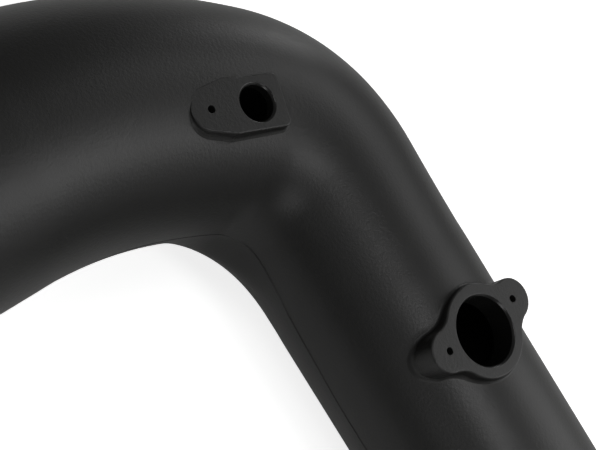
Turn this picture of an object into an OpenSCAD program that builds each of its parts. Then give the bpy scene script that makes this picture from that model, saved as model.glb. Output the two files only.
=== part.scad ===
// Cold air intake pipe, moulded in one piece. A round tube turns through a right angle in one
// plane: a straight run to the engine, a tight elbow, a long sweep and a straight arm to the
// filter. A lobed boss on the run seats an airflow sensor with two screws, and a pointed pad on
// the bend seats a small temperature sensor with one. Both seats face straight up.
// The origin is the middle of the engine mouth, the run goes along +Y and the arm along -X.

/* [Engine end] */
// Outside diameter of the engine end and the straight run
engine_od = 88.9; // [82:0.1:94]
// Length from the engine mouth to the start of the elbow
run_len = 220; // [205:1:300]
// Length of the seat for the hose and its clamp
clamp_len = 40; // [25:1:60]
// Depth of the clamp seat under the surface of the run
clamp_relief = 0.6; // [0.5:0.05:1]

/* [Filter end] */
// Outside diameter of the filter end
filter_od = 101.6; // [95:0.1:108]
// Length of the straight arm between the sweep and the filter mouth
arm_len = 90; // [60:1:160]

/* [Bend] */
// Radius that the inside of the elbow would have at the tube's middle size
throat_radius = 3; // [3:0.5:20]
// Angle that the elbow turns, in degrees
elbow_turn = 58; // [50:1:65]
// Radius of the long sweep, to the middle of the tube
sweep_radius = 200; // [170:1:260]
// Length of the run over which the tube starts to widen
taper_lead = 50; // [30:1:55]
// Reach of the rounding in the inside corner, above the parting plane
upper_rounding = 12; // [6:0.5:20]
// Reach of the fuller rounding in the inside corner, below the parting plane
lower_rounding = 38; // [24:1:48]

/* [Wall] */
// Wall thickness of the tube
wall = 3.5; // [2.5:0.1:4.5]

/* [Airflow sensor boss] */
// Distance from the engine mouth to the sensor bore
boss_from_mouth = 138; // [80:1:148]
// Height of the seat above the crown of the run
boss_rise = 2.9; // [1.5:0.1:6]
// Diameter of the sensor bore
bore_d = 28; // [22:0.1:30]
// Diameter of the lead-in that takes the sensor's seal
lead_d = 29; // [28.5:0.1:31]
// Depth of the lead-in
lead_depth = 1; // [0.5:0.1:5]
// Depth of the bore from the seat to the end of its sleeve
bore_depth = 12; // [10:0.1:20]
// Wall of the sleeve that reaches into the duct
sleeve_wall = 2.5; // [1.5:0.1:4]
// Diameter of the round middle of the boss
boss_d = 38.6; // [36:0.1:44]
// Distance between the two screw holes
screw_gap = 41.7; // [38:0.1:46]
// Distance of the screw holes from the bore towards the elbow
screw_shift = 2.9; // [0:0.1:5]
// Radius of each lobe round its screw hole
lobe_r = 8.8; // [6:0.1:11]
// Radius of the hollow between lobe and middle
waist_r = 12; // [4:0.5:20]
// Diameter of the screw pilot holes
pilot_d = 3; // [2:0.1:4]
// Depth of the screw pilot holes in the boss
pilot_depth = 9; // [5:0.1:10]

/* [Temperature sensor pad] */
// Distance of the port to the filter side of the run's middle line
port_left = 37.5; // [30:0.1:45]
// Distance of the port past the start of the elbow
port_past = 39.7; // [32:0.1:42]
// Height of the pad's face above the middle plane of the tube
pad_height = 48.1; // [47:0.1:52]
// Direction from the port to its screw, in degrees from +X
pad_angle = 162.8; // [150:0.1:180]
// Diameter of the port
port_d = 14.2; // [8:0.1:16]
// Width of the chamfer round the port
port_chamfer = 0.8; // [0.2:0.1:1.2]
// Distance from the port to the pad's straight edge
pad_back = 12.4; // [10.5:0.1:15]
// Width of the pad
pad_w = 21.6; // [19:0.1:26]
// Distance from the port to its screw hole
port_screw = 20.5; // [16:0.1:24]
// Radius of the pad's tip round its screw hole
tip_r = 8.6; // [6:0.1:9.4]
// Radius of the pad's two corners
corner_r = 2.8; // [1:0.1:4]
// Depth of the pad's screw pilot hole
post_depth = 7.5; // [4:0.1:12]
// Wall round the pilot hole, under the pad
post_wall = 2.2; // [1.5:0.1:3]
// Least thickness of the tube's wall behind the pad
pad_wall = 2.5; // [2:0.1:3.5]

/* [Finish] */
// Height of the softened edge round each seat
edge = 0.8; // [0.3:0.1:1.2]
// Reach of the flare at the foot of the boss
foot = 2.4; // [1:0.1:4]
// Reach of the flare at the foot of the pad
pad_foot = 1.2; // [0.5:0.1:3]
// Number of flats round the bent tube
sides = 60; // [48:12:96]
// Number of rings round the bend
bend_rings = 20; // [16:1:30]

/* [Hidden] */

engine_r = engine_od / 2;
filter_r = filter_od / 2;
elbow_radius = throat_radius + (engine_r + filter_r) / 2;
sweep_turn = 90 - elbow_turn;
degree = PI / 180;

// Stations are lengths along the middle line, with 0 at the start of the elbow
elbow_end = elbow_radius * elbow_turn * degree;
sweep_end = elbow_end + sweep_radius * sweep_turn * degree;
elbow_hub = [-elbow_radius, run_len];
sweep_hub = elbow_hub + (elbow_radius - sweep_radius) * [cos(elbow_turn), sin(elbow_turn)];
arm_start = sweep_hub + [0, sweep_radius];

// The bent tube laps this far into the straight ones, and stays this far under their surface
lap = 1;
under = 0.15;

// The bend's sections stand on rays from a far point on its inside, with upright rays before and after
far_radius = 72;
far_lead = 40;
far = [-engine_r - far_radius, run_len - far_lead];
bend_from = run_len - max(taper_lead, far_lead + lap);
bend_to = min(arm_start.x, far.x - lap);

lead_rings = 3;
tail_rings = 2;
full_turn = 24;
tries = 24;
smooth = 96;
cut = 1;
arc_step = 8;
least_lean = 0.05;
seat_z = engine_r + boss_rise;
boss_at = [0, boss_from_mouth];
lobe_at = [screw_gap / 2, screw_shift];
port_at = [-port_left, run_len + port_past];

// Depth of a seat's foot under the tube's surface, and room left round the pad by its levelling cut
sink = 0.3;
pad_margin = 0.3;

// Outside radius of the tube at a station: an even widening that starts and ends gently
function ease(t) = t * t * (3 - 2 * t);
function tube_r(s) = let (
    t = (s + taper_lead) / (sweep_end + taper_lead),
    held = min(max(t, 0), 1)
) engine_r + (filter_r - engine_r) * ease(held);

// Station of a point in plan, and its distance off the tube's middle line
function on_sweep(p) = let (w = p - sweep_hub)
    p.x < sweep_hub.x ? [sweep_end + sweep_hub.x - p.x, w.y - sweep_radius]
    : [elbow_end + sweep_radius * (atan2(w.y, w.x) - elbow_turn) * degree, norm(w) - sweep_radius];
function on_tube(p) = let (v = p - elbow_hub, a = atan2(v.y, v.x))
    p.y <= run_len ? [p.y - run_len, p.x]
    : a <= elbow_turn ? [elbow_radius * a * degree, norm(v) - elbow_radius]
    : on_sweep(p);

// A ray is its start and its direction, from the inside of the bend outward
function ray_through(p) = p.y < far.y ? [[far.x, p.y], [1, 0]]
    : p.x < far.x ? [[p.x, far.y], [0, 1]]
    : [far, (p - far) / norm(p - far)];
rays = concat(
    [ray_through([0, bend_from - lap])],
    [for (i = [0:lead_rings - 1]) ray_through([0, bend_from + (far.y - bend_from) * i / lead_rings])],
    [for (i = [0:bend_rings]) let (a = 90 * i / bend_rings) [far, [cos(a), sin(a)]]],
    [for (i = [1:tail_rings]) [[far.x + (bend_to - far.x) * i / tail_rings, far.y], [0, 1]]],
    [[[bend_to - lap, far.y], [0, 1]]]
);

// Lengths along a ray to the outside of the tube, and to the inside lines of the run and the sweep.
// Each is found by stepping to the surface again and again.
function outside(ray, d, n) = n == 0 ? d
    : let (q = on_tube(ray[0] + d * ray[1])) outside(ray, d + tube_r(q.x) - q.y, n - 1);
function run_inside(ray, d, n) = n == 0 ? d
    : let (p = ray[0] + d * ray[1])
    run_inside(ray, d - (p.x + tube_r(p.y - run_len)) / max(ray[1].x, least_lean), n - 1);
function sweep_inside(ray, d, n) = n == 0 ? d
    : let (q = on_sweep(ray[0] + d * ray[1])) sweep_inside(ray, d - q.y - tube_r(q.x), n - 1);
function rounded_min(a, b, reach) = min(a, b) - pow(max(reach - abs(a - b), 0), 2) / (4 * reach);

// A section's outside length, inside length, fullness of the lower half, and half height
function section(ray) = let (
    out = outside(ray, far_radius + engine_od, tries),
    by_run = run_inside(ray, far_radius, tries),
    by_sweep = sweep_inside(ray, far_radius, tries),
    in = rounded_min(by_run, by_sweep, upper_rounding),
    low = rounded_min(by_run, by_sweep, lower_rounding)
) [out, in, in - low, tube_r(on_tube(ray[0] + (out + in) / 2 * ray[1]).x)];

// One ring of points on a section, at a depth under the outside surface
function ring(ray, depth) = let (
    s = section(ray),
    middle = (s[0] + s[1]) / 2,
    half = (s[0] - s[1]) / 2 - depth - under,
    rise = s[3] - depth - under
) [for (k = [0:sides - 1]) let (
    turn = 360 * k / sides,
    fuller = turn > 180 && turn < 270 ? s[2] * ease(min((turn - 180) / full_turn, 1)) : 0,
    p = ray[0] + (middle + (half + fuller) * cos(turn)) * ray[1]
) [p.x, p.y, rise * sin(turn)]];

// The bent and widening stretch of the tube as one skin of rings
module bent_tube(depth) {
    last = len(rays) - 1;
    points = [for (r = rays) each ring(r, depth)];
    first_end = [for (k = [sides - 1:-1:0]) k];
    last_end = [for (k = [0:sides - 1]) last * sides + k];
    skin = [for (i = [0:last - 1], k = [0:sides - 1])
        let (near = i * sides, far = near + sides, next = (k + 1) % sides)
        each [[near + k, near + next, far + k], [near + next, far + next, far + k]]];
    polyhedron(points, concat([first_end, last_end], skin));
}

// The tube as a solid from a start on the run, at a depth under its outside surface, with the
// filter end run out by extra
module tube(depth, start, extra) {
    translate([0, start, 0])
        rotate([-90, 0, 0])
            cylinder(r = engine_r - depth, h = bend_from - start, $fn = smooth);
    bent_tube(depth);
    translate([bend_to, arm_start.y, 0])
        rotate([0, -90, 0])
            cylinder(r = filter_r - depth, h = arm_len + bend_to - arm_start.x + extra, $fn = smooth);
}

// End of the run that takes the hose, a little slimmer than the run
module clamp_seat() {
    rotate([-90, 0, 0])
        cylinder(r = engine_r - clamp_relief, h = clamp_len + lap, $fn = smooth);
}

// Height of the tube's outer surface above a point in plan
function crown(p) = let (
    ray = ray_through(p),
    s = section(ray),
    t = ((p - ray[0]) * ray[1] - (s[0] + s[1]) / 2) / ((s[0] - s[1]) / 2)
) s[3] * sqrt(max(1 - t * t, 0));

// Points along an arc, from one angle to another, without the last one
function arc(centre, r, from, to) = let (steps = ceil(abs(to - from) / arc_step))
    [for (i = [0:steps - 1]) let (a = from + (to - from) * i / steps) centre + r * [cos(a), sin(a)]];
function angle_of(v) = atan2(v.y, v.x);

// Middle of the waist's hollow arc, above (1) or below (-1) the line from the bore to the right screw
function waist_at(side) = let (
    d = norm(lobe_at),
    reach = boss_d / 2 + waist_r,
    along = (d * d + reach * reach - pow(lobe_r + waist_r, 2)) / (2 * d),
    u = lobe_at / d
) u * along + side * [-u.y, u.x] * sqrt(reach * reach - along * along);

// Right half of the boss round the bore, from its lowest point to its highest
half_boss = let (low = waist_at(-1), high = waist_at(1)) concat(
    arc([0, 0], boss_d / 2, -90, angle_of(low)),
    arc(low, waist_r, angle_of(-low), angle_of(lobe_at - low)),
    arc(lobe_at, lobe_r, angle_of(low - lobe_at), angle_of(high - lobe_at)),
    arc(high, waist_r, angle_of(lobe_at - high), angle_of(-high)),
    arc([0, 0], boss_d / 2, angle_of(high), 90)
);
boss_outline = concat(
    [for (p = half_boss) boss_at + p],
    [boss_at + [0, boss_d / 2]],
    [for (i = [len(half_boss) - 1:-1:1]) boss_at + [-half_boss[i].x, half_boss[i].y]]
);

// Outline of the pad: two small corners, straight sides and a round tip round the screw
function pad_point(p) = port_at
    + [p.x * cos(pad_angle) - p.y * sin(pad_angle), p.x * sin(pad_angle) + p.y * cos(pad_angle)];
pad_side = pad_w / 2 - corner_r;
tip_angle = angle_of([-tip_r, pad_side]) - acos((tip_r - corner_r) / norm([tip_r, pad_side]));
half_pad = concat(
    arc([port_screw, 0], tip_r, 0, tip_angle),
    arc([port_screw - tip_r, pad_side], corner_r, tip_angle, 90),
    arc([corner_r - pad_back, pad_side], corner_r, 90, 180),
    [[-pad_back, pad_side]]
);
pad_outline = concat(
    [for (p = half_pad) pad_point(p)],
    [for (i = [len(half_pad) - 1:-1:1]) pad_point([half_pad[i].x, -half_pad[i].y])]
);

// The outline moved outward by a distance, which can differ from point to point
function moved(outline, by) = let (n = len(outline)) [for (i = [0:n - 1])
    let (along = outline[(i + 1) % n] - outline[(i + n - 1) % n])
    outline[i] + by[i] * [along.y, -along.x] / norm(along)];
function level(outline, z) = [for (p = outline) [p.x, p.y, z]];
function alike(outline, value) = [for (p = outline) value];

// A raised seat: its foot flares into the tube, its wall is upright and its top edge is softened.
// The softening runs on above the face by over, for a later cut at the face.
module seat(outline, face, over, reach) {
    n = len(outline);
    wall_top = face - edge;
    flare = [for (p = outline) min(max(wall_top - crown(p), 0), reach)];
    foot_top = [for (i = [0:n - 1]) min(crown(outline[i]) + flare[i], wall_top - sink)];
    spread = moved(outline, flare);
    rings = [
        level(spread, 0),
        [for (i = [0:n - 1]) [spread[i].x, spread[i].y, foot_top[i] - flare[i] - sink]],
        [for (i = [0:n - 1]) [outline[i].x, outline[i].y, foot_top[i]]],
        level(outline, wall_top),
        level(moved(outline, alike(outline, -edge - over)), face + over)
    ];
    skin = [for (i = [0:len(rings) - 2], k = [0:n - 1])
        let (near = i * n, far = near + n, next = (k + 1) % n)
        each [[near + k, far + k, near + next], [near + next, far + k, far + next]]];
    first_end = [for (k = [0:n - 1]) k];
    last_end = [for (k = [n - 1:-1:0]) (len(rings) - 1) * n + k];
    polyhedron([for (r = rings) each r], concat([first_end, last_end], skin));
}

// Levels the tube's crown and the pad at the height of the pad's face
module pad_cut() {
    translate([0, 0, pad_height])
        linear_extrude(height = filter_r)
            polygon(moved(pad_outline, alike(pad_outline, pad_margin)));
}

// The inside of the tube, which leaves the wall whole behind the pad
module duct() {
    difference() {
        tube(wall, -cut, cut);
        translate([0, 0, pad_height - pad_wall])
            linear_extrude(height = filter_r)
                polygon(moved(pad_outline, alike(pad_outline, pad_margin + pad_wall)));
    }
}

// Sleeve of the sensor bore, and the post of the pad's screw, both inside the duct
module inner_supports() {
    translate([0, boss_from_mouth, seat_z - bore_depth])
        cylinder(d = bore_d + 2 * sleeve_wall, h = bore_depth - lead_depth, $fn = smooth);
    translate([port_at.x, port_at.y, pad_height - post_depth - post_wall])
        rotate(pad_angle)
            translate([port_screw, 0, 0])
                cylinder(d = pilot_d + 2 * post_wall, h = post_depth + post_wall - lap, $fn = smooth);
}

module boss_holes() {
    translate([0, boss_from_mouth, seat_z]) {
        translate([0, 0, -bore_depth - cut])
            cylinder(d = bore_d, h = bore_depth + 2 * cut, $fn = smooth);
        translate([0, 0, -lead_depth])
            cylinder(d = lead_d, h = lead_depth + cut, $fn = smooth);
        for (side = [-1, 1])
            translate([side * screw_gap / 2, screw_shift, -pilot_depth])
                cylinder(d = pilot_d, h = pilot_depth + cut, $fn = smooth);
    }
}

module pad_holes() {
    translate([port_at.x, port_at.y, pad_height])
        rotate(pad_angle) {
            translate([0, 0, -pad_height / 2])
                cylinder(d = port_d, h = pad_height / 2 + cut, $fn = smooth);
            translate([0, 0, -port_chamfer])
                cylinder(d1 = port_d, d2 = port_d + 2 * (port_chamfer + cut), h = port_chamfer + cut,
                    $fn = smooth);
            translate([port_screw, 0, -post_depth])
                cylinder(d = pilot_d, h = post_depth + cut, $fn = smooth);
        }
}

module intake_pipe() {
    color([0.13, 0.13, 0.13])
        difference() {
            union() {
                difference() {
                    union() {
                        clamp_seat();
                        tube(0, clamp_len, 0);
                        seat(boss_outline, seat_z, 0, foot);
                        seat(pad_outline, pad_height, edge, pad_foot);
                    }
                    pad_cut();
                    duct();
                }
                inner_supports();
            }
            boss_holes();
            pad_holes();
        }
}

intake_pipe();
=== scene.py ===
import math

import bmesh
import bpy
from mathutils import Matrix, Vector


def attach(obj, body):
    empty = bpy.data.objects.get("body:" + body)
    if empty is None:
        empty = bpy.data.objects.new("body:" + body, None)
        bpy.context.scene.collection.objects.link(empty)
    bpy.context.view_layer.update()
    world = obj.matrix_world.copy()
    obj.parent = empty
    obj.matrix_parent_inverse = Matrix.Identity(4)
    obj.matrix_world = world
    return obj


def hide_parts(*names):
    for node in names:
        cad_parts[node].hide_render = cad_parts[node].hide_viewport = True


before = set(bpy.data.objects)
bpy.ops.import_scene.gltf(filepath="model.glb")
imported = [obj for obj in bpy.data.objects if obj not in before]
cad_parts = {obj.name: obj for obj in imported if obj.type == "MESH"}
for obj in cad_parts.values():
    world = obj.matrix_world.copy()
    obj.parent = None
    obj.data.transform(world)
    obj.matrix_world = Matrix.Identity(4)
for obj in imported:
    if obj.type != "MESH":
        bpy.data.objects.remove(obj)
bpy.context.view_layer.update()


def linear(code, alpha=1.0):
    """An sRGB hex colour as the linear values that the sockets take."""
    parts = [int(code[i : i + 2], 16) / 255 for i in (1, 3, 5)]
    return [c / 12.92 if c <= 0.04045 else ((c + 0.055) / 1.055) ** 2.4 for c in parts] + [alpha]


def add_node(tree, kind, inputs=None, **settings):
    """A shader node with its settings and its inputs, which are values or other nodes' outputs."""
    node = tree.nodes.new(kind)
    for name, value in settings.items():
        setattr(node, name, value)
    for name, value in (inputs or {}).items():
        if isinstance(value, bpy.types.NodeSocket):
            tree.links.new(value, node.inputs[name])
        else:
            node.inputs[name].default_value = value
    return node


# Intake pipe: a round duct of black moulded plastic, straight, tightly bent, swept and straight.
# The tube, the airflow sensor's boss and the temperature sensor's pad are one moulding, so they
# are joined into one skin here. The parting line runs along the middle of both sides.
mm = 0.001
engine_r, filter_r, wall, under = 44.45, 50.8, 3.5, 0.15
run_len, arm_len, taper_lead = 220.0, 90.0, 50.0
elbow_r, sweep_r, elbow_turn = 50.625, 200.0, math.radians(58)
elbow_end = elbow_r * elbow_turn
sweep_end = elbow_end + sweep_r * (math.pi / 2 - elbow_turn)
elbow_hub = Vector((-elbow_r, run_len))
sweep_hub = elbow_hub + (elbow_r - sweep_r) * Vector((math.cos(elbow_turn), math.sin(elbow_turn)))
arm_start = sweep_hub + Vector((0, sweep_r))
ray_lead = 72.0
far = Vector((-engine_r - ray_lead, run_len - 40.0))
bend_from, past_bend, blend = run_len - 50.0, run_len + 50.0, 8.0
upper_rounding, lower_rounding, full_turn = 12.0, 38.0, math.radians(24)
groove_w, groove_d, beside_groove, flat_free = 0.6, 0.5, 1.8, 2.4
climb_top, climb_at, climb_wide, climb_turn = 4.2, 21.0, 16.0, math.radians(70)
drop, drop_from, drop_over = 2.2, 5.0, 40.0
clamp_len, clamp_relief, lip, lip_len = 40.0, 0.6, 0.5, 0.4


def ease(t):
    t = min(max(t, 0), 1)
    return t * t * (3 - 2 * t)


def radius_at(s):
    return engine_r + (filter_r - engine_r) * ease((s + taper_lead) / (sweep_end + taper_lead))


def on_sweep(p):
    """Length along the tube and distance off its middle for a point in plan past the elbow."""
    v = p - sweep_hub
    if v.x < 0:
        return sweep_end - v.x, v.y - sweep_r
    return elbow_end + sweep_r * (angle_of(v) - elbow_turn), v.length - sweep_r


def on_tube(p):
    v = p - elbow_hub
    if p.y <= run_len:
        return p.y - run_len, p.x
    if angle_of(v) <= elbow_turn:
        return elbow_r * angle_of(v), v.length - elbow_r
    return on_sweep(p)


def angle_of(v):
    return math.atan2(v.y, v.x)


def ray_through(p):
    """The sections stand on rays from a far point inside the bend, with upright rays beyond it."""
    if p.y < far.y:
        return Vector((far.x, p.y)), Vector((1, 0))
    if p.x < far.x:
        return Vector((p.x, far.y)), Vector((0, 1))
    return far, (p - far).normalized()


def rounded_min(a, b, reach):
    return min(a, b) - max(reach - abs(a - b), 0) ** 2 / (4 * reach)


def section(ray):
    """Outside and inside lengths on a ray, fullness of the lower half, and half height."""
    start, way = ray
    out = ray_lead + 2 * engine_r
    by_run = by_sweep = ray_lead
    for _ in range(24):
        s, off = on_tube(start + out * way)
        out += radius_at(s) - off
        p = start + by_run * way
        by_run -= (p.x + radius_at(p.y - run_len)) / max(way.x, 0.05)
        s, off = on_sweep(start + by_sweep * way)
        by_sweep -= off + radius_at(s)
    inside = rounded_min(by_run, by_sweep, upper_rounding)
    low = rounded_min(by_run, by_sweep, lower_rounding)
    middle = start + (out + inside) / 2 * way
    return out, inside, inside - low, radius_at(on_tube(middle)[0])


def crown_at(p):
    """Height of the tube's outer surface above a point in plan."""
    ray = ray_through(p)
    out, inside, _, rise = section(ray)
    t = ((p - ray[0]).dot(ray[1]) - (out + inside) / 2) / ((out - inside) / 2)
    return rise * math.sqrt(max(1 - t * t, 0))


def steps(start, end, count):
    return [start + (end - start) * i / count for i in range(count)]


def tube_solid(name, depth, extra, flats, parting):
    """One circle extruded from section to section, with a groove at both parting lines if asked."""
    mouth = arm_start.x - arm_len
    along_run = [-extra, lip_len - extra] + steps(3, clamp_len, 10)
    along_run += [clamp_len, clamp_len + 0.25] + steps(clamp_len + 4, bend_from - 1, 33)
    spots = [Vector((0, y)) for y in along_run + steps(bend_from - 1, far.y, 4)]
    spots += [far + Vector((math.cos(a), math.sin(a))) for a in steps(0, math.pi / 2, 80)]
    along_arm = steps(far.x, arm_start.x, 5) + steps(arm_start.x, mouth + lip_len - extra, 30)
    along_arm += [mouth + lip_len - extra, mouth - extra]
    spots += [Vector((x, past_bend)) for x in along_arm]
    angles = [2 * math.pi * i / flats for i in range(flats)]
    if parting:
        near = (-beside_groove, -groove_w, -groove_w / 2, 0, groove_w / 2, groove_w, beside_groove)
        near = [d / engine_r for d in near]
        angles = [a for a in angles if abs(math.sin(a)) > flat_free / engine_r]
        angles = sorted(angles + [(a + c) % (2 * math.pi) for a in near for c in (0, math.pi)])
    bm = bmesh.new()
    turn = bm.verts.layers.float.new("turn")
    ring = bmesh.ops.create_circle(bm, segments=len(angles), radius=1)["verts"]
    for v, a in zip(ring, angles):
        v[turn] = a
    edges = list(bm.edges)
    ends = [list(edges)]
    for i, spot in enumerate(spots):
        if i:
            made = bmesh.ops.extrude_edge_only(bm, edges=edges)["geom"]
            edges = [e for e in made if isinstance(e, bmesh.types.BMEdge)]
            ring = [v for v in made if isinstance(v, bmesh.types.BMVert)]
        start, way = ray_through(spot)
        out, inside, fuller, rise = section((start, way))
        # The bend is held a little under the straight tubes, which are the exact sizes.
        in_bend = ease((spot.y - bend_from) / blend) * ease((spot.x - arm_start.x) / blend)
        less = depth + under * in_bend
        if parting and i in (0, len(spots) - 1):
            less += lip
        if parting and spot.y <= clamp_len:
            less += clamp_relief
        # The parting line climbs a little through the elbow, so its place on the side shifts.
        bend = math.degrees(angle_of(way)) if spot.y > far.y else spot.y - far.y
        climb = climb_top * math.exp(-(((bend - climb_at) / climb_wide) ** 2))
        climb -= drop * ease(-(bend + drop_from) / drop_over)
        for v in ring:
            a = v[turn]
            inner = max(1 - abs(a - math.pi) / climb_turn, 0)
            b = a - climb / engine_r * ease(inner)
            dent = full = 0
            if parting:
                off = abs(math.asin(math.sin(a))) * engine_r
                dent = groove_d * max(1 - (off / groove_w) ** 2, 0)
            if math.pi < a < 1.5 * math.pi:
                full = fuller * ease((a - math.pi) / full_turn)
            half = (out - inside) / 2 - less - dent
            along = (out + inside) / 2 + (half + full) * math.cos(b)
            v.co = Vector((*(start + along * way), (rise - less - dent) * math.sin(b))) * mm
    ends.append(edges)
    for e in ends:
        bmesh.ops.holes_fill(bm, edges=e, sides=len(angles))
    bmesh.ops.recalc_face_normals(bm, faces=bm.faces)
    return new_object(name, bm)


def new_object(name, bm):
    mesh = bpy.data.meshes.new(name)
    bm.to_mesh(mesh)
    bm.free()
    thing = bpy.data.objects.new(name, mesh)
    bpy.context.scene.collection.objects.link(thing)
    return thing


def combine(body, tool, how):
    """Joins or cuts the body with a tool, which is then gone."""
    step = body.modifiers.new(how, "BOOLEAN")
    step.operation, step.object, step.solver = how, tool, "MANIFOLD"
    with bpy.context.temp_override(object=body, active_object=body, selected_objects=[body]):
        bpy.ops.object.modifier_apply(modifier=step.name)
    bpy.data.objects.remove(tool)


def arc(centre, r, start, end, count):
    return [centre + r * Vector((math.cos(a), math.sin(a))) for a in steps(start, end, count)]


def moved(outline, distances):
    """The outline with every point moved outward by its distance."""
    n = len(outline)
    out = []
    for i, p in enumerate(outline):
        along = (outline[(i + 1) % n] - outline[i - 1]).normalized()
        out.append(p + distances[i] * Vector((along.y, -along.x)))
    return out


def lofted(name, rings):
    """A closed solid from level to level, each ring with as many points in metres."""
    n = len(rings[0])
    bm = bmesh.new()
    key = bm.verts.layers.int.new("key")
    verts = bmesh.ops.create_circle(bm, segments=n, radius=1)["verts"]
    for k, v in enumerate(verts):
        v[key] = k
    edges = list(bm.edges)
    first = list(edges)
    for i, ring in enumerate(rings):
        if i:
            made = bmesh.ops.extrude_edge_only(bm, edges=edges)["geom"]
            edges = [e for e in made if isinstance(e, bmesh.types.BMEdge)]
            verts = [v for v in made if isinstance(v, bmesh.types.BMVert)]
        for v in verts:
            v.co = ring[v[key]]
    bmesh.ops.holes_fill(bm, edges=first, sides=n)
    bmesh.ops.holes_fill(bm, edges=edges, sides=n)
    bmesh.ops.recalc_face_normals(bm, faces=bm.faces)
    return new_object(name, bm)


def at_heights(outline, heights):
    return [Vector((*p, z)) * mm for p, z in zip(outline, heights)]


def seat_solid(name, outline, face, foot, edge):
    """A seat with a hollow flare at its foot, upright walls and a rounded top edge."""
    n, flare_rings, edge_rings = len(outline), 7, 5
    inside_z, skirt_out, skirt_drop, sunk, gap = 20, 0.25, 0.35, 0.12, 0.01
    spread = [min(max(face - edge - crown_at(p), 0), foot) for p in outline]
    skirt = moved(outline, [d + skirt_out for d in spread])
    rings = [at_heights(skirt, [inside_z] * n)]
    for i in range(flare_rings):
        a = math.radians(90 - 90 * i / (flare_rings - 1))
        wide = moved(outline, [d * (1 - math.cos(a)) for d in spread])
        # The flare starts just under the tube, and stays below the rounded edge of a low wall.
        lift = [crown_at(q) + d * (1 - math.sin(a)) for q, d in zip(wide, spread)]
        if i == 0:
            lift = [z - sunk for z in lift]
        lift = [min(z, face - edge - gap * (flare_rings - i)) for z in lift]
        if i == 0:
            rings.append(at_heights(skirt, [z - skirt_drop for z in lift]))
        rings.append(at_heights(wide, lift))
    for i in range(edge_rings):
        a = math.radians(90 * i / (edge_rings - 1))
        top = moved(outline, [edge * (math.cos(a) - 1)] * n)
        rings.append(at_heights(top, [face - edge * (1 - math.sin(a))] * n))
    return lofted(name, rings)


def turned(name, at, top, profile, count=96):
    """A solid of revolution on an upright axis, from points of radius and depth under top."""
    bm = bmesh.new()
    points = [bm.verts.new(Vector((r, 0, -d)) * mm) for r, d in profile]
    chain = [bm.edges.new(pair) for pair in zip(points, points[1:])]
    bmesh.ops.spin(
        bm,
        geom=points + chain,
        cent=(0, 0, 0),
        axis=(0, 0, 1),
        dvec=(0, 0, 0),
        angle=2 * math.pi,
        steps=count,
        use_merge=True,
    )
    bmesh.ops.remove_doubles(bm, verts=bm.verts, dist=1e-7)
    bmesh.ops.recalc_face_normals(bm, faces=bm.faces)
    bmesh.ops.translate(bm, verts=bm.verts, vec=Vector((*at, top)) * mm)
    return new_object(name, bm)


# Outline of the airflow boss: a round middle, two lobes round the screws and hollow waists.
boss_at, boss_top = Vector((0, 138.0)), 47.35
boss_r, lobe_r, waist_r = 19.3, 8.8, 12.0
lobe = Vector((20.85, 2.9))
reach, span = boss_r + waist_r, lobe.length
inward = (span**2 + reach**2 - (lobe_r + waist_r) ** 2) / (2 * span)
unit = lobe / span
side = Vector((-unit.y, unit.x)) * math.sqrt(reach**2 - inward**2)
low, high = unit * inward - side, unit * inward + side
centre = Vector((0, 0))
half = (
    arc(centre, boss_r, -math.pi / 2, angle_of(low), 20)
    + arc(low, waist_r, angle_of(-low), angle_of(lobe - low), 12)
    + arc(lobe, lobe_r, angle_of(low - lobe), angle_of(high - lobe), 36)
    + arc(high, waist_r, angle_of(lobe - high), angle_of(-high), 12)
    + arc(centre, boss_r, angle_of(high), math.pi / 2, 20)
)
boss_outline = [boss_at + p for p in half] + [boss_at + Vector((0, boss_r))]
boss_outline += [boss_at + Vector((-p.x, p.y)) for p in reversed(half[1:])]

# Outline of the pad: a straight back, straight sides and a round tip round the screw.
port_at, pad_top, pad_angle = Vector((-37.5, 259.7)), 48.1, math.radians(162.8)
pad_back, pad_half, port_screw, tip_r, corner_r = 12.4, 10.8, 20.5, 8.6, 2.8
inset = pad_half - corner_r
lean = angle_of(Vector((-tip_r, inset))) - math.acos((tip_r - corner_r) / math.hypot(tip_r, inset))
half = (
    arc(Vector((port_screw, 0)), tip_r, 0, lean, 24)
    + arc(Vector((port_screw - tip_r, inset)), corner_r, lean, math.pi / 2, 4)
    + steps(Vector((port_screw - tip_r, pad_half)), Vector((corner_r - pad_back, pad_half)), 10)[1:]
    + arc(Vector((corner_r - pad_back, inset)), corner_r, math.pi / 2, math.pi, 10)
    + steps(Vector((-pad_back, inset)), Vector((-pad_back, 0)), 5)
)
turn_pad = Matrix.Rotation(pad_angle, 2)
pad_outline = [port_at + turn_pad @ p for p in half] + [port_at + turn_pad @ Vector((-pad_back, 0))]
pad_outline += [port_at + turn_pad @ Vector((p.x, -p.y)) for p in reversed(half[1:])]
pad_screw = port_at + turn_pad @ Vector((port_screw, 0))

pipe = tube_solid("intake_pipe_skin", 0, 0, 144, True)
combine(pipe, seat_solid("boss", boss_outline, boss_top, 1.6, 0.9), "UNION")
combine(pipe, seat_solid("pad", pad_outline, pad_top, 1.2, 0.8), "UNION")
level = moved(pad_outline, [0.3] * len(pad_outline))
over = [at_heights(level, [z] * len(level)) for z in (pad_top, pad_top + 9)]
combine(pipe, lofted("pad_level", over), "DIFFERENCE")
combine(pipe, tube_solid("duct", wall, 2, 96, False), "DIFFERENCE")
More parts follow.
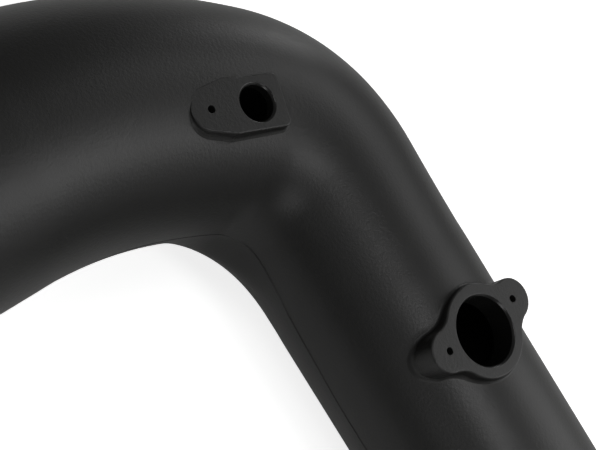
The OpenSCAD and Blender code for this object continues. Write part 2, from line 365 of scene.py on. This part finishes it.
# Sleeve and screw post inside the tube, then the bores with their rims, as radius and depth.
sleeve = [(0, 4), (16.5, 4), (16.5, 11.6), (16.1, 12), (0, 12)]
post = [(0, 2.2), (3.7, 2.2), (3.7, 9.7), (0, 9.7)]
bore_rim, port_rim = 15.0, 8.15
bore = [(0, -2), (bore_rim, -2), (bore_rim, -0.01), (14.8, 0.08), (14.62, 0.25), (14.22, 0.72)]
bore += [(14.06, 0.92), (14.0, 1.2), (14.0, 14), (0, 14)]
port = [(0, -2), (port_rim, -2), (port_rim, -0.01), (7.95, 0.08), (7.75, 0.24), (7.3, 0.72)]
port += [(7.15, 0.92), (7.1, 1.15), (7.1, 25), (0, 25)]
combine(pipe, turned("sleeve", boss_at, boss_top, sleeve), "UNION")
combine(pipe, turned("post", pad_screw, pad_top, post), "UNION")
combine(pipe, turned("sensor_bore", boss_at, boss_top, bore), "DIFFERENCE")
combine(pipe, turned("port", port_at, pad_top, port), "DIFFERENCE")
for i, (at, top, depth) in enumerate(
    (
        (boss_at + lobe, boss_top, 9),
        (boss_at + Vector((-lobe.x, lobe.y)), boss_top, 9),
        (pad_screw, pad_top, 7.5),
    )
):
    hole = [(0, -2), (1.75, -2), (1.75, -0.01), (1.56, 0.1), (1.5, 0.3)]
    hole += [(1.5, depth - 0.4), (0, depth)]
    combine(pipe, turned("pilot_%d" % i, at, top, hole, 32), "DIFFERENCE")

moulded = bpy.data.materials.new("moulded_plastic")
moulded.use_nodes = True
tree = moulded.node_tree
tree.nodes.clear()
where = add_node(tree, "ShaderNodeTexCoord").outputs["Object"]
# Wrinkled leather grain of the mould, in cells of about a millimetre: seen only in the highlights.
warp = add_node(
    tree,
    "ShaderNodeTexNoise",
    {"Vector": where, "Scale": 1 / (2.2 * mm), "Detail": 2.0},
)
bent = add_node(
    tree,
    "ShaderNodeMixRGB",
    {"Fac": 0.8 * mm, "Color1": where, "Color2": warp.outputs["Color"]},
    blend_type="ADD",
)
cells = add_node(
    tree,
    "ShaderNodeTexVoronoi",
    {"Vector": bent.outputs["Color"], "Scale": 1 / (1.1 * mm)},
    feature="SMOOTH_F1",
)
fine = add_node(
    tree,
    "ShaderNodeTexNoise",
    {"Vector": where, "Scale": 1 / (0.45 * mm), "Detail": 2.0},
)
both = {0: cells.outputs["Distance"], 1: fine.outputs["Fac"]}
grain = add_node(tree, "ShaderNodeMath", both, operation="ADD").outputs[0]
bump = add_node(tree, "ShaderNodeBump", {"Strength": 0.5, "Distance": 0.1 * mm, "Height": grain})
# Slow changes of gloss along the moulding, as the mould's wall cools the plastic unevenly.
slow = add_node(
    tree,
    "ShaderNodeTexNoise",
    {"Vector": where, "Scale": 1 / (45 * mm), "Detail": 3.0},
)
uneven = {"Value": slow.outputs["Fac"], "To Min": 0.38, "To Max": 0.44}
gloss = add_node(tree, "ShaderNodeMapRange", uneven)
skin = add_node(
    tree,
    "ShaderNodeBsdfPrincipled",
    {
        "Base Color": linear("#161615"),
        "Roughness": gloss.outputs["Result"],
        "Normal": bump.outputs["Normal"],
    },
)
add_node(tree, "ShaderNodeOutputMaterial", {"Surface": skin.outputs["BSDF"]})
# The bores and their rims are cut after moulding, which leaves the same plastic smooth and shiny.
trimmed = bpy.data.materials.new("trimmed_plastic")
trimmed.use_nodes = True
smooth = trimmed.node_tree.nodes["Principled BSDF"].inputs
smooth["Base Color"].default_value = linear("#161615")
smooth["Roughness"].default_value = 0.27
pipe.data.materials.clear()
pipe.data.materials.append(moulded)
pipe.data.materials.append(trimmed)
for face in pipe.data.polygons:
    spot = face.center / mm
    off_bore, off_port = (spot.xy - boss_at).length, (spot.xy - port_at).length
    in_bore = off_bore < bore_rim + 0.01 and boss_top - 11.9 < spot.z < boss_top - 0.001
    in_port = off_port < port_rim + 0.01 and pad_top - 9 < spot.z < pad_top - 0.001
    face.material_index = 1 if in_bore or in_port else 0
pipe.data.shade_smooth()
pipe.data.set_sharp_from_angle(angle=math.radians(38))
weighted = pipe.modifiers.new("weighted", "WEIGHTED_NORMAL")
weighted.keep_sharp = True
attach(pipe, "root")
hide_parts("intake_pipe")

# Floor: a plain white sheet under the pipe. It glows a little to the camera alone, so that it
# leaves the frame white beside the pipe's soft shadow.
floor_z, floor_glow = -filter_r * mm, 0.78
bm = bmesh.new()
bmesh.ops.create_grid(bm, x_segments=1, y_segments=1, size=3.0)
bmesh.ops.translate(bm, verts=bm.verts, vec=(-0.1, 0.17, floor_z))
floor = new_object("floor", bm)
paper = bpy.data.materials.new("paper")
paper.use_nodes = True
tree = paper.node_tree
tree.nodes.clear()
ray = add_node(tree, "ShaderNodeLightPath")
seen_only = {0: ray.outputs["Is Camera Ray"], 1: floor_glow}
glow = add_node(tree, "ShaderNodeMath", seen_only, operation="MULTIPLY")
matt = add_node(tree, "ShaderNodeBsdfDiffuse", {"Color": linear("#f0f0ef")})
white = {"Color": linear("#ffffff"), "Strength": glow.outputs[0]}
lift = add_node(tree, "ShaderNodeEmission", white)
sheet = add_node(tree, "ShaderNodeAddShader", {0: matt.outputs[0], 1: lift.outputs[0]})
add_node(tree, "ShaderNodeOutputMaterial", {"Surface": sheet.outputs[0]})
floor.data.materials.append(paper)

# Light: a dim pale room and eight soft boxes, whose reflections draw the pale bands on the pipe.
world = bpy.data.worlds.new("room")
bpy.context.scene.world = world
world.use_nodes = True
tree = world.node_tree
tree.nodes.clear()
ray = add_node(tree, "ShaderNodeLightPath")
room = add_node(tree, "ShaderNodeBackground", {"Color": linear("#ffffff"), "Strength": 0.11})
seen = add_node(tree, "ShaderNodeBackground", {"Color": linear("#ffffff"), "Strength": 1.0})
by_ray = {0: ray.outputs["Is Camera Ray"], 1: room.outputs[0], 2: seen.outputs[0]}
either = add_node(tree, "ShaderNodeMixShader", by_ray)
add_node(tree, "ShaderNodeOutputWorld", {"Surface": either.outputs[0]})

aim = Vector((-0.08, 0.17, 0))
for name, place, size, power in (
    ("engine_side", (1.02, -0.52, 0.75), 1.0, 5.4),
    ("low_side", (1.26, 0.82, 0.18), 0.31, 1.1),
    ("filter_side", (-0.57, 0.68, 1.32), 0.5, 3.1),
    ("low_front", (0.36, -1.20, 0.46), 1.0, 0.8),
    ("arm_front", (0.48, -0.66, 0.84), 0.45, 1.1),
    ("near_run", (-0.08, 0.0, 0.5), 0.14, 0.4),
    ("beyond_bend", (1.11, 0.42, 0.88), 0.6, 1.9),
    ("filter_front", (-0.93, -0.54, 0.69), 0.36, 1.3),
):
    lamp = bpy.data.lights.new(name, "AREA")
    lamp.size, lamp.energy = size, power
    box = bpy.data.objects.new(name, lamp)
    bpy.context.scene.collection.objects.link(box)
    box.location, box.visible_camera = place, False
    box.rotation_euler = (Vector(place) - aim).to_track_quat("Z", "Y").to_euler()

# Camera: over the filter arm, looking down along the engine run, rolled as the photo is.
lens = bpy.data.cameras.new("camera")
lens.lens, lens.sensor_width, lens.clip_start = 79.0, 36.0, 0.01
camera = bpy.data.objects.new("camera", lens)
bpy.context.scene.collection.objects.link(camera)
camera_at = Vector((-0.335392, 0.238206, 0.435963))
back, right = Vector((-0.591, 0.052, 0.805)).normalized(), Vector((0.670, -0.524, 0.526))
right = (right - back * right.dot(back)).normalized()
facing = Matrix((right, back.cross(right), back)).transposed().to_4x4()
camera.matrix_world = Matrix.Translation(camera_at) @ facing
bpy.context.scene.camera = camera
bpy.context.scene.view_settings.view_transform = "Standard"
